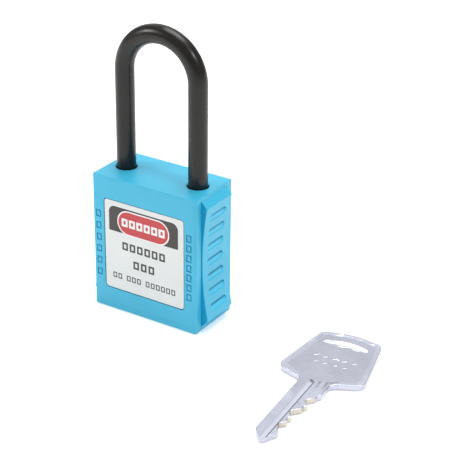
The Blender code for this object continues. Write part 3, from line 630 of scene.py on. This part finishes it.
def label_recess(side):
    """A cutter for the shallow rounded recess that a label lies in."""
    half_w, half_h = LABEL_W / 2 + GAP, LABEL_H / 2 + GAP
    outline = rectangle(-half_w, -half_h, half_w, half_h, [LABEL_R + GAP] * 4)
    recess = prism("recess", outline, 0, RECESS_DEPTH + THROUGH)
    place = Matrix.Translation(Vector((0, side * (CASE_D / 2 - RECESS_DEPTH), LABEL_Z)) * MM)
    recess.data.transform(place @ Matrix.Rotation(math.radians(-90 * side), 4, "X"))
    return recess


def engraved_marks():
    """One cutter for all the marks: each is a small upright frame, a plain stand-in for a letter."""
    bm = bmesh.new()
    for x, top, bottom, count in MARK_COLUMNS:
        for index in range(count):
            z = top + (bottom - top) * index / (count - 1)
            outline, hollow = frame_outlines(x, z, MARK_W, MARK_H, MARK_STROKE)
            mark = prism("mark", outline, CASE_D / 2 - MARK_DEPTH, CASE_D / 2 + THROUGH, [hollow])
            mark.data.transform(upright(-1))
            bm.from_mesh(mark.data)
            bpy.data.objects.remove(mark)
    return new_object("marks", mesh_from("marks", bm))


def case_body():
    """The blue case, with its chambers, bores and label recesses.

    The holes of the retaining screw and the stop pin are left out, because what fills them hides them.
    """
    cover_low, cover_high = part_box("base_cover")
    low = cover_low / MM - Vector((GAP, GAP, THROUGH))
    high = cover_high / MM + Vector((GAP, GAP, GAP))
    left, half_d = CHAMBER_LEFT, CHAMBER_HALF_D
    flange_low, lower_low = high.z - THROUGH, FLANGE_SEAT_TOP - THROUGH
    upper_low = LOWER_CHAMBER_TOP - THROUGH
    cutters = [
        label_recess(-1),
        label_recess(1),
        engraved_marks(),
        leg_bore("heel_bore", -LEG_X, high.z - HEEL_BORE_OVERLAP),
        leg_bore("toe_bore", LEG_X, TOE_BORE_FLOOR),
        box("cover_seat", low, high, COVER_CORNER_R),
        box("flange_seat", (left, -half_d, flange_low), (FLANGE_SEAT_RIGHT, half_d, FLANGE_SEAT_TOP)),
        box("lower_chamber", (left, -half_d, lower_low), (LOWER_CHAMBER_RIGHT, half_d, LOWER_CHAMBER_TOP)),
        box("upper_chamber", (left, -half_d, upper_low), (UPPER_CHAMBER_RIGHT, half_d, UPPER_CHAMBER_TOP)),
        box("bolt_window", *BOLT_WINDOW),
    ]
    body = piece(smooth(combine(outer_wall(), cutters)), "case", "case", ["body_shell"])
    finish_pads(body)
    return body


def finish_pads(body):
    """Paint light and shade on the pads: painted light on the slots' ramps, and painted shade under each
    slot's upper edge, on the pads' walls and on the round foot's underside.
    """
    looks = ["case", "scoop_painted_light", "painted_shade", "pad_wall_painted_shade"]
    for look in looks[1:]:
        body.data.materials.append(MATERIALS[look])
    side_x, margin = CASE_W / 2, 0.05
    deepest_x = side_x - SLOT_DEPTH - 4 * margin
    for face in body.data.polygons:
        x, y, z = face.center / MM
        faces_along = abs(face.normal.y) > 0.5
        leans_down = margin < -face.normal.z < 1 - margin
        if abs(x) < deepest_x:
            continue
        # Slot faces: painted light on the ramp, painted shade under the upper edge
        if slot_depth(y, z) > margin:
            up = (z - SLOT_MID_Z + SLOT_PITCH / 2) % SLOT_PITCH - SLOT_PITCH / 2
            face.material_index = looks.index("painted_shade" if up > SLOT_SHADE_LOW else "scoop_painted_light")
        # The pads' walls that face front or back take painted shade
        elif abs(x) > side_x + margin and faces_along:
            face.material_index = looks.index("pad_wall_painted_shade")
        # The foot's rounded underside takes painted shade, a dark contact line
        elif z < CASE_FOOT_R and leans_down:
            face.material_index = looks.index("painted_shade")


def base_cover():
    """The flat cover in the bottom, with soft edges and a countersunk hole for the plug's face."""
    low, high = (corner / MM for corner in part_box("base_cover"))
    plug_low, plug_high = (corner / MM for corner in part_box("cylinder_plug"))
    plug_x = (plug_low.x + plug_high.x) / 2
    cover = box("base_cover_moulding", low, high, COVER_CORNER_R)
    top = high.z + THROUGH
    mouth_r = COVER_HOLE_R + COVER_HOLE_LIP + THROUGH
    wall = [(COVER_HOLE_R, top), (COVER_HOLE_R, COVER_HOLE_LIP), (mouth_r, -THROUGH)]
    profile = [(0, top), *wall, (0, -THROUGH)]
    cover = combine(cover, [turned("hole", profile, (plug_x, 0, 0))])
    return piece(smooth(cover), "case", "cover", ["base_cover"])


# Labels


def print_patch(name, outline, side, layer, ink, holes=()):
    """A thin layer of ink on a label, drawn in the label's own plane, seen from its front."""
    base = LABEL_FACE + PRINT_T * (layer - 1)
    patch = prism(name, outline, base - PRINT_ROOT, base + PRINT_T, holes)
    patch.data.transform(upright(side))
    return piece(smooth(patch, weighted=False), "case", ink)


def print_row(name, middle_z, words, width, height, stroke, gap, ink, layer, side):
    """Words of small frames in one row; words gives how many frames each word has."""
    total = sum(words) * (width + gap) - gap + (len(words) - 1) * WORD_SPACE
    x = PRINT_X - total / 2 + width / 2
    count = 0
    for letters in words:
        for _ in range(letters):
            count += 1
            outer, inner = frame_outlines(x, middle_z, width, height, stroke)
            print_patch(f"{name}_{count}", outer, side, layer, ink, [inner])
            x += width + gap
        x += WORD_SPACE


def label(side):
    """The label on the front (side -1) or the back (side 1): its plate and its printing."""
    name = "front" if side < 0 else "back"
    half_w, half_h = LABEL_W / 2, LABEL_H / 2
    outline = rectangle(-half_w, LABEL_Z - half_h, half_w, LABEL_Z + half_h, [LABEL_R] * 4)
    plate = prism(f"{name}_label_plate", outline, LABEL_BACK, LABEL_FACE)
    plate.data.transform(upright(side))
    piece(smooth(plate, weighted=False), "case", "label", [f"{name}_label"])
    for shape, half_width, low, high, radii, ink, layer in PRINT_SHAPES:
        outline = rectangle(PRINT_X - half_width, low, PRINT_X + half_width, high, radii)
        print_patch(f"{name}_{shape}", outline, side, layer, ink)
    for row, *layout in PRINT_ROWS:
        print_row(f"{name}_{row}", *layout, side)


# Shackle


def leg_end(x, bottom, turn):
    """Stations up a leg's rounded end: x, z, the rod's radius there, and how far the rod has turned."""
    stations = []
    for step in range(LEG_END_STEPS + 1):
        angle = math.radians(90 * step / LEG_END_STEPS)
        z = bottom + LEG_END_R * (1 - math.cos(angle))
        stations.append((x, z, ROD_R - LEG_END_R * (1 - math.sin(angle)), turn))
    return stations


def shackle():
    """The nylon rod, swept round its bow, with softened leg ends and its two notches."""
    heel_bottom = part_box("shackle")[0].z / MM
    path = leg_end(-LEG_X, heel_bottom, 0)
    path += [(-LEG_X, z, ROD_R, 0) for z in spaced(heel_bottom + 1, LEG_TOP, LEG_STEP)]
    for step in range(BOW_STEPS + 1):
        turn = math.pi * step / BOW_STEPS
        path.append((-LEG_X * math.cos(turn), LEG_TOP + LEG_X * math.sin(turn), ROD_R, turn))
    path += [(LEG_X, z, ROD_R, math.pi) for z in spaced(TOE_BOTTOM + 1, LEG_TOP, LEG_STEP)[::-1]]
    path += leg_end(LEG_X, TOE_BOTTOM, math.pi)[::-1]
    bm = bmesh.new()
    rings = []
    for x, z, radius, turn in path:
        ring = []
        for side in range(ROD_SIDES):
            angle = math.tau * side / ROD_SIDES
            out = radius * math.cos(angle)
            place = Vector((x - out * math.cos(turn), radius * math.sin(angle), z + out * math.sin(turn)))
            ring.append(bm.verts.new(place * MM))
        rings.append(ring)
    for first, second in zip(rings, rings[1:]):
        for side in range(ROD_SIDES):
            after = (side + 1) % ROD_SIDES
            bm.faces.new((first[side], first[after], second[after], second[side]))
    bm.faces.new(rings[0][::-1])
    bm.faces.new(rings[-1])
    bmesh.ops.recalc_face_normals(bm, faces=bm.faces)
    rod = new_object("shackle_rod", mesh_from("shackle_rod", bm))
    inner = LEG_X - ROD_R
    bolt_low, bolt_high = BOLT_NOTCH_Z
    stop_low, stop_high = STOP_NOTCH_Z
    bolt_x, stop_x = inner + BOLT_NOTCH_DEPTH, -inner - STOP_NOTCH_DEPTH
    cutters = [
        box("bolt_notch", (inner - THROUGH, -NOTCH_HALF_W, bolt_low), (bolt_x, NOTCH_HALF_W, bolt_high)),
        box("stop_notch", (stop_x, -NOTCH_HALF_W, stop_low), (THROUGH - inner, NOTCH_HALF_W, stop_high)),
    ]
    return piece(smooth(combine(rod, cutters)), "shackle", "nylon", ["shackle"])


# Carried-over CAD nodes

CARRIED = {
    "zinc": ["cylinder_housing", "drive_cam", "bolt_guide"],
    "brass": ["cylinder_plug", "pin_chamber_cover"],
    "steel": ["shackle_spring", "shackle_stop_pin", "plug_retaining_clip", "lock_bolt", "retaining_screw"],
}
CARRIED_ROWS = {"brass": "key_pin_", "zinc": "driver_pin_", "steel": "pin_spring_"}


def carry_over():
    """Give the CAD nodes that stay, all of them of metal, their worked finish."""
    for material, names in CARRIED.items():
        row = sorted(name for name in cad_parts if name.startswith(CARRIED_ROWS[material]))
        for name in names + row:
            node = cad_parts[name]
            node.data.materials.clear()
            node.data.materials.append(MATERIALS[material])


# Key. Its own axes run from the shoulder: x to the bow, y to the spine, z up from the ground.
KEY_T = 1.7
KEY_SHOULDER = (64.7, -21.5)
KEY_HEADING = math.radians(95.7)
KEY_SPINE = 4.7
KEY_EDGE_R = 0.2
BLADE_W = 8.7
BLADE_L = 28.2
STOP_PROUD = 0.8
TIP_FROM_SPINE = 3.6
TIP_CUT_SLOPE_L = 5.3
TIP_SPINE_SLOPE_L = 4.6
CUT_WIDTHS = (6.7, 7.4, 5.1, 5.9, 5.0)  # the blade's width at each cut, from the shoulder to the tip
CUT_FIRST = 4.6
CUT_PITCH = 3.6
CUT_FLAT = 0.5
CUT_SLOPE = 0.95
GROOVE_Y = KEY_SPINE - 3.5
GROOVE_HALF_W = 0.95
GROOVE_DEPTH = 0.45
GROOVE_END = 6.4
GROOVE_END_R = 0.6
SCORE_W = 0.42
SCORE_DEPTH = 0.15
SCORE_SHORT = 0.7  # how far the score line beside the groove ends before the groove does
FIELD_DEPTH = 0.2
FIELD_DRAFT = 0.4
NECK_L = 6.4
BOW_BASE = 10.0
BOW_TOP = 34.1
BOW_CROWN = 1.9
BOW_HALF_W = 13.9
BOW_TOP_HALF_W = 9.9
BOW_RIM = 1.7
BOW_RIM_BASE_SIDE = 2.2
BOW_RIM_TOP_SIDE = 1.8
FIELD_NECK = (7.0, 2.4)  # x of the field's end in the neck, and half its width there
CUTS_X = (5 - BLADE_L, -1.6)  # the stretch whose walls, below CUTS_Y, are bare milled brass
CUTS_Y = -0.2
RING_LOW = 27.6
RING_HIGH = 31.1
RING_HALF_W = 7.2
RING_END = 1.7
RING_HUMP_MIDDLE = -0.225
RING_HUMP_WIDTH = 0.71
RING_HUMP_RISE = 0.65
PIP_ROWS = ((20.6, 5), (17.2, 4))  # x of a row, and how many ovals it has
PIP_PITCH = 3.1
PIP_SIZE = (0.6, 1.3, 0.12)
PIP_SUNK = 0.06
PIP_SLANT = math.radians(35)


def blade_width(distance):
    """The blade's width at a distance from the shoulder: each cut is a flat with sloping sides."""
    width = BLADE_W
    for index, left in enumerate(CUT_WIDTHS):
        away = abs(distance - CUT_FIRST - CUT_PITCH * index) - CUT_FLAT
        width = min(width, left + CUT_SLOPE * max(0.0, away))
    return width


def cut_edge():
    """Points along the cut edge, at each cut's two ends and at the peak between two cuts."""
    first = CUT_FIRST - CUT_FLAT - (BLADE_W - CUT_WIDTHS[0]) / CUT_SLOPE
    edge = KEY_SPINE - BLADE_W
    points = [(0, edge - STOP_PROUD, 0.15), (-first / 2, edge, 0.2), (-first, edge, 0)]
    for index, left in enumerate(CUT_WIDTHS):
        middle = CUT_FIRST + CUT_PITCH * index
        points += [(end, KEY_SPINE - left, 0.15) for end in (CUT_FLAT - middle, -CUT_FLAT - middle)]
        if index + 1 < len(CUT_WIDTHS):
            rise = CUT_WIDTHS[index + 1] - left
            peak = middle + CUT_PITCH / 2 + rise / (2 * CUT_SLOPE)
            points.append((-peak, KEY_SPINE - blade_width(peak), 0.12))
    return points


def key_outline():
    """The blank's outline with its cuts: up the spine side, round the bow and down the cut side."""
    tip = [
        (-BLADE_L + TIP_CUT_SLOPE_L, KEY_SPINE - CUT_WIDTHS[0], 0.3),
        (-BLADE_L, KEY_SPINE - TIP_FROM_SPINE, 0.7),
        (-BLADE_L + TIP_SPINE_SLOPE_L, KEY_SPINE, 1.2),
    ]
    bow = [
        (NECK_L, KEY_SPINE, 1.6),
        (BOW_BASE, BOW_HALF_W, 3.4),
        (BOW_TOP, BOW_TOP_HALF_W, 3.0),
        (BOW_TOP + BOW_CROWN, 0, 17.0),
        (BOW_TOP, -BOW_TOP_HALF_W, 3.0),
        (BOW_BASE, -BOW_HALF_W, 3.4),
        (NECK_L, -KEY_SPINE, 3.0),
    ]
    return rounded_outline(bow + cut_edge() + tip, 10)


def ring_slot():
    """The arched slot in the bow, with its waved lower edge."""
    outline = []
    steps = 48
    for step in range(steps + 1):
        share = 2 * step / steps - 1
        phase = (share - RING_HUMP_MIDDLE) / RING_HUMP_WIDTH
        hump = math.cos(math.pi * phase) ** 2 if abs(phase) < 1 else 1.0
        outline.append((RING_LOW + RING_HUMP_RISE * hump, RING_HALF_W * share))
    for step in range(1, steps):
        share = 1 - 2 * step / steps
        arch = (RING_HIGH - RING_LOW - RING_END) * math.cos(math.pi * share / 2) ** 0.8
        outline.append((RING_LOW + RING_END + arch, RING_HALF_W * share))
    return outline


def drafted(name, low_outline, low, high_outline, high):
    """A closed body lofted between two outlines of equally many points."""
    bm = bmesh.new()
    first = [bm.verts.new(Vector((x, y, low)) * MM) for x, y in low_outline]
    second = [bm.verts.new(Vector((x, y, high)) * MM) for x, y in high_outline]
    for index in range(len(first)):
        after = (index + 1) % len(first)
        bm.faces.new((first[index], first[after], second[after], second[index]))
    bm.faces.new(first)
    bm.faces.new(second)
    bmesh.ops.recalc_face_normals(bm, faces=bm.faces)
    return new_object(name, mesh_from(name, bm))


def field_outline(grow):
    """The sunk field inside the bow's raised rim, grown outwards by a margin."""
    base, top = BOW_BASE + BOW_RIM - grow, BOW_TOP - BOW_RIM + grow
    wide, narrow = BOW_HALF_W - BOW_RIM_BASE_SIDE + grow, BOW_TOP_HALF_W - BOW_RIM_TOP_SIDE + grow
    neck, neck_half_w = FIELD_NECK[0] - grow, FIELD_NECK[1]
    corners = [
        (neck, neck_half_w, 1.6),
        (base, wide, 2.0),
        (top, narrow, 1.8),
        (BOW_TOP + grow, 0, 15.0),
        (top, -narrow, 1.8),
        (base, -wide, 2.0),
        (neck, -neck_half_w, 1.6),
    ]
    return rounded_outline(corners, 10)


def bow_pips(face):
    """Two rows of low slanted ovals in the bow's field, a plain pattern for the fingers."""
    bm = bmesh.new()
    slant = Matrix.Rotation(PIP_SLANT, 3, "Z")
    for x, count in PIP_ROWS:
        for index in range(count):
            y = PIP_PITCH * (index - (count - 1) / 2)
            oval = bmesh.ops.create_uvsphere(bm, u_segments=24, v_segments=12, radius=1.0)["verts"]
            bmesh.ops.scale(bm, vec=Vector(PIP_SIZE) * MM, verts=oval)
            bmesh.ops.rotate(bm, verts=oval, matrix=slant)
            bmesh.ops.translate(bm, verts=oval, vec=Vector((x, y, face - PIP_SUNK)) * MM)
    return new_object("pips", mesh_from("pips", bm))


def key_face_look(centre, normal):
    """Which of the key's materials a face takes: brass cuts, the ring slot's walls in a near-white painted
    reflection, the groove's floor in painted light, the score line in painted shade, the top faces in a
    lighter painted reflection, or plate.
    """
    x, y, z = centre
    steep = abs(normal.z) < 0.7
    if steep and CUTS_X[0] < x < CUTS_X[1] and y < CUTS_Y:
        return "key_cut"
    margin = 0.3
    # Ring slot walls: painted reflection
    if steep and RING_LOW - margin < x < RING_HIGH + margin and abs(y) < RING_HALF_W + margin:
        return "key_slot_painted_reflection"
    low_y, high_y = GROOVE_Y - GROOVE_HALF_W, GROOVE_Y + GROOVE_HALF_W
    if KEY_T - GROOVE_DEPTH - 0.1 < z < KEY_T - 0.02 and x < GROOVE_END:
        # The score line: painted shade
        if low_y - SCORE_W < y < low_y and abs(normal.x) < 0.3:
            return "key_score_painted_shade"
        # The groove: its floor takes painted light
        if low_y - 0.01 < y < high_y + 0.01:
            return "key_floor_painted_light" if abs(normal.z) > 0.8 else "key_satin"
    # Top faces: a lighter painted reflection
    if normal.z > 0.9 and z > KEY_T - 0.1:
        return "key_top_painted_reflection"
    return "key"


def key():
    """The nickel-plated key: rounded edges, a sunk field in the bow, a groove and milled cuts."""
    low_y, high_y = GROOVE_Y - GROOVE_HALF_W, GROOVE_Y + GROOVE_HALF_W
    start, over = -BLADE_L - THROUGH, KEY_T + THROUGH
    groove_radii = [0.1, GROOVE_END_R, GROOVE_END_R, 0.1]
    groove_floor = rectangle(start, low_y, GROOVE_END, high_y - GROOVE_DEPTH, groove_radii)
    groove_mouth = rectangle(start, low_y, GROOVE_END, high_y + THROUGH, groove_radii)
    score_end = GROOVE_END - SCORE_SHORT
    score = rectangle(start, low_y - SCORE_W, score_end, low_y + 0.1, [0.02, 0.15, 0.15, 0.02])
    field_floor = field_outline(0)
    field_mouth = field_outline(FIELD_DRAFT * (1 + THROUGH / FIELD_DEPTH))
    cutters = [
        drafted("top_field", field_floor, KEY_T - FIELD_DEPTH, field_mouth, over),
        drafted("under_field", field_floor, FIELD_DEPTH, field_mouth, -THROUGH),
        drafted("groove", groove_floor, KEY_T - GROOVE_DEPTH, groove_mouth, over),
        prism("score", score, KEY_T - SCORE_DEPTH, over),
    ]
    blank = prism("key_blank", key_outline(), 0, KEY_T, [ring_slot()], KEY_EDGE_R)
    blank = combine(combine(blank, cutters), [bow_pips(KEY_T - FIELD_DEPTH)], "UNION")
    blank = piece(smooth(blank, 32), "key", "key", ["key"])
    looks = ["key", "key_cut", "key_slot_painted_reflection", "key_floor_painted_light", "key_satin", "key_score_painted_shade", "key_top_painted_reflection"]
    for look in looks[1:]:
        blank.data.materials.append(MATERIALS[look])
    for face in blank.data.polygons:
        face.material_index = looks.index(key_face_look(face.center / MM, face.normal))
    place = Matrix.Translation(Vector((*KEY_SHOULDER, 0)) * MM) @ Matrix.Rotation(KEY_HEADING, 4, "Z")
    blank.data.transform(place)


# Studio


def camera():
    """The camera, in front of the padlock, to its right and above it, with a long lens."""
    data = bpy.data.cameras.new("camera")
    data.lens = CAMERA_LENS
    data.sensor_width = CAMERA_SENSOR
    data.clip_start, data.clip_end = CAMERA_CLIP
    obj = bpy.data.objects.new("camera", data)
    bpy.context.scene.collection.objects.link(obj)
    a, e = math.radians(CAMERA_AZIMUTH), math.radians(CAMERA_ELEVATION)
    back = Vector((math.sin(a) * math.cos(e), -math.cos(a) * math.cos(e), math.sin(e)))
    right = Vector((math.cos(a), math.sin(a), 0))
    up = back.cross(right)
    turn = Matrix((right, up, back)).transposed() @ Matrix.Rotation(math.radians(CAMERA_ROLL), 3, "Z")
    obj.matrix_world = Matrix.Translation(Vector(CAMERA_PLACE) * MM) @ turn.to_4x4()
    bpy.context.scene.camera = obj


def area_light(name, place, aim, size, power):
    """A white square light at place, facing aim."""
    data = bpy.data.lights.new(name, "AREA")
    data.shape = "SQUARE"
    data.size = size
    data.energy = power
    obj = bpy.data.objects.new(name, data)
    bpy.context.scene.collection.objects.link(obj)
    obj.location = place
    obj.rotation_euler = (Vector(aim) - Vector(place)).to_track_quat("-Z", "Y").to_euler()


def floor():
    """A wide pale floor, a hair under the padlock."""
    bm = bmesh.new()
    bmesh.ops.create_grid(bm, x_segments=1, y_segments=1, size=FLOOR_HALF)
    bmesh.ops.translate(bm, verts=bm.verts, vec=(0, 0, -FLOOR_DROP))
    ground = new_object("floor", mesh_from("floor", bm))
    material, tree, shader = principled("floor_white", (0.93, 0.93, 0.93), 0.9)
    shader.inputs["Specular IOR Level"].default_value = 0.0
    shader.inputs["Emission Color"].default_value = (1, 1, 1, 1)
    shader.inputs["Emission Strength"].default_value = 0.3
    vary_colour(tree, shader, noise(tree, 3.0, 2.0), (0.925, 0.925, 0.925), (0.935, 0.935, 0.935))
    ground.data.materials.append(material)


def studio():
    """White surroundings, the floor and the four lights."""
    world = bpy.data.worlds.new("studio")
    world.use_nodes = True
    background = world.node_tree.nodes["Background"]
    background.inputs["Color"].default_value = (1, 1, 1, 1)
    background.inputs["Strength"].default_value = WORLD_STRENGTH
    bpy.context.scene.world = world
    bpy.context.scene.view_settings.view_transform = "Standard"
    floor()
    for light in LIGHTS:
        area_light(*light)


camera()
case_body()
base_cover()
label(-1)
label(1)
shackle()
carry_over()
key()
studio()
